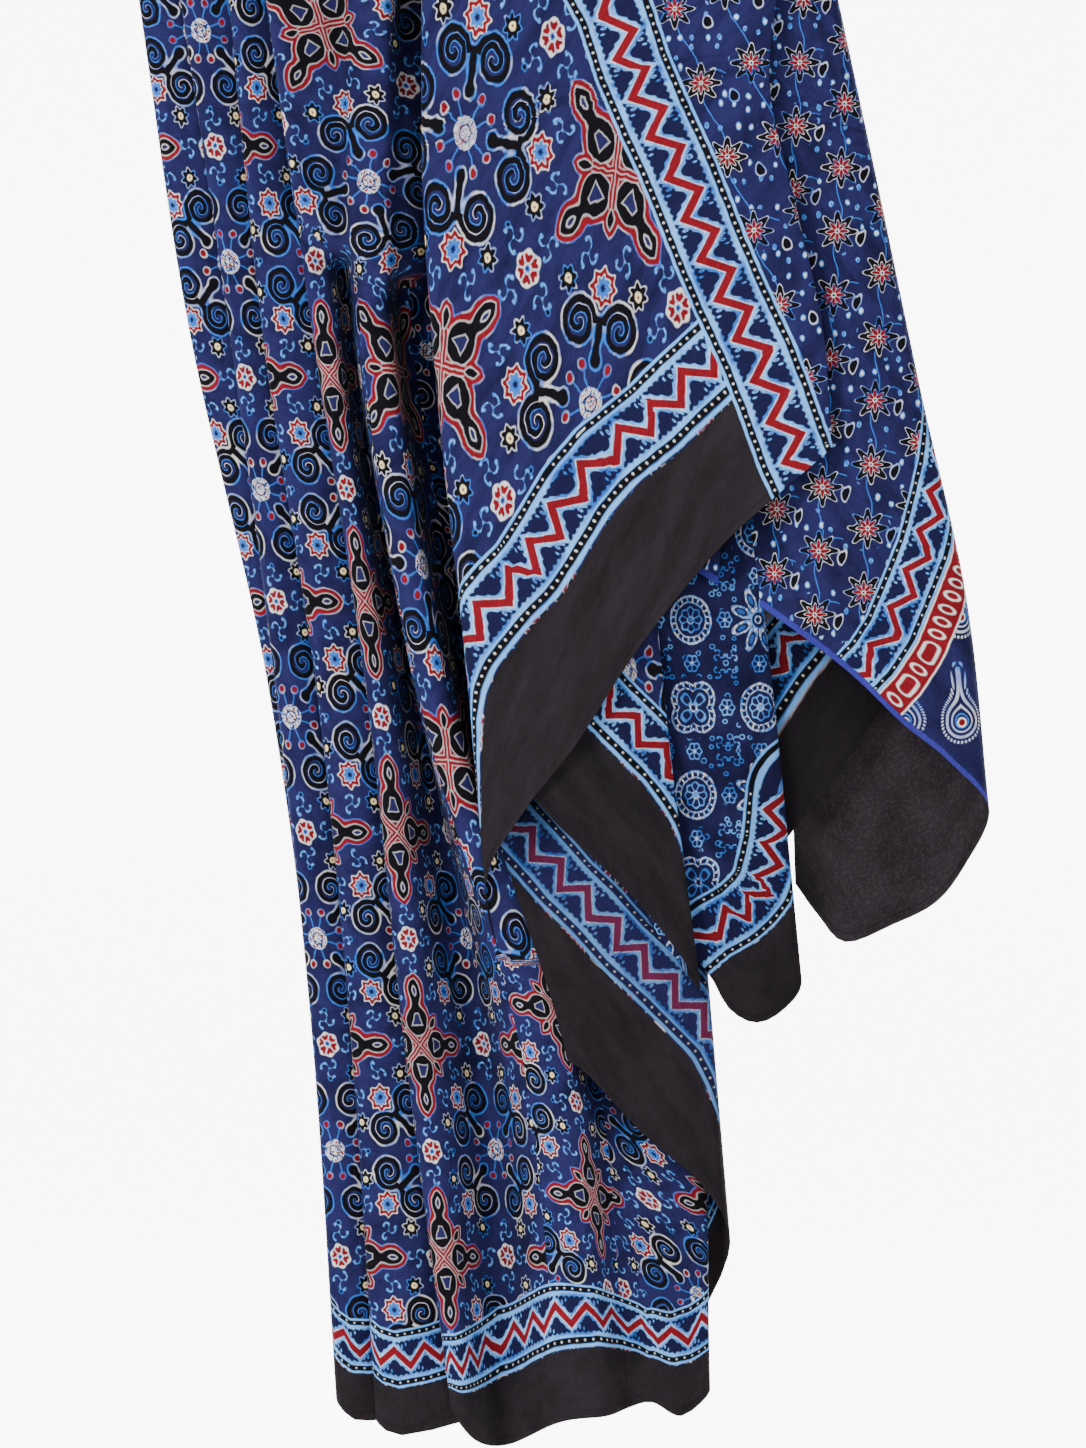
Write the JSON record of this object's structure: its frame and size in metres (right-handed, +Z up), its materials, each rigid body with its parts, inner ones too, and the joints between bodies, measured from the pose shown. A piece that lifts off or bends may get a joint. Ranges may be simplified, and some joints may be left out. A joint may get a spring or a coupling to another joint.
{
  "type": "dabu print fabric",
  "caption": "Long mud-resist block-printed cloth hanging from its top edge, with knife pleats on one side, a diagonal front panel and turned-over end layers.",
  "frame": {"origin": "middle of the top edge, where the cloth is held", "axes": "+Z up along the drop, +X across to the viewer's right, +Y away from the seen side"},
  "size_m": [0.6824, 0.1157, 1.1822],
  "materials": {
    "cloth": "matt woven cotton, indigo ground with a resist print"
  },
  "bodies": {
    "root": {"cloth": "cloth"}
  },
  "joints": []
}
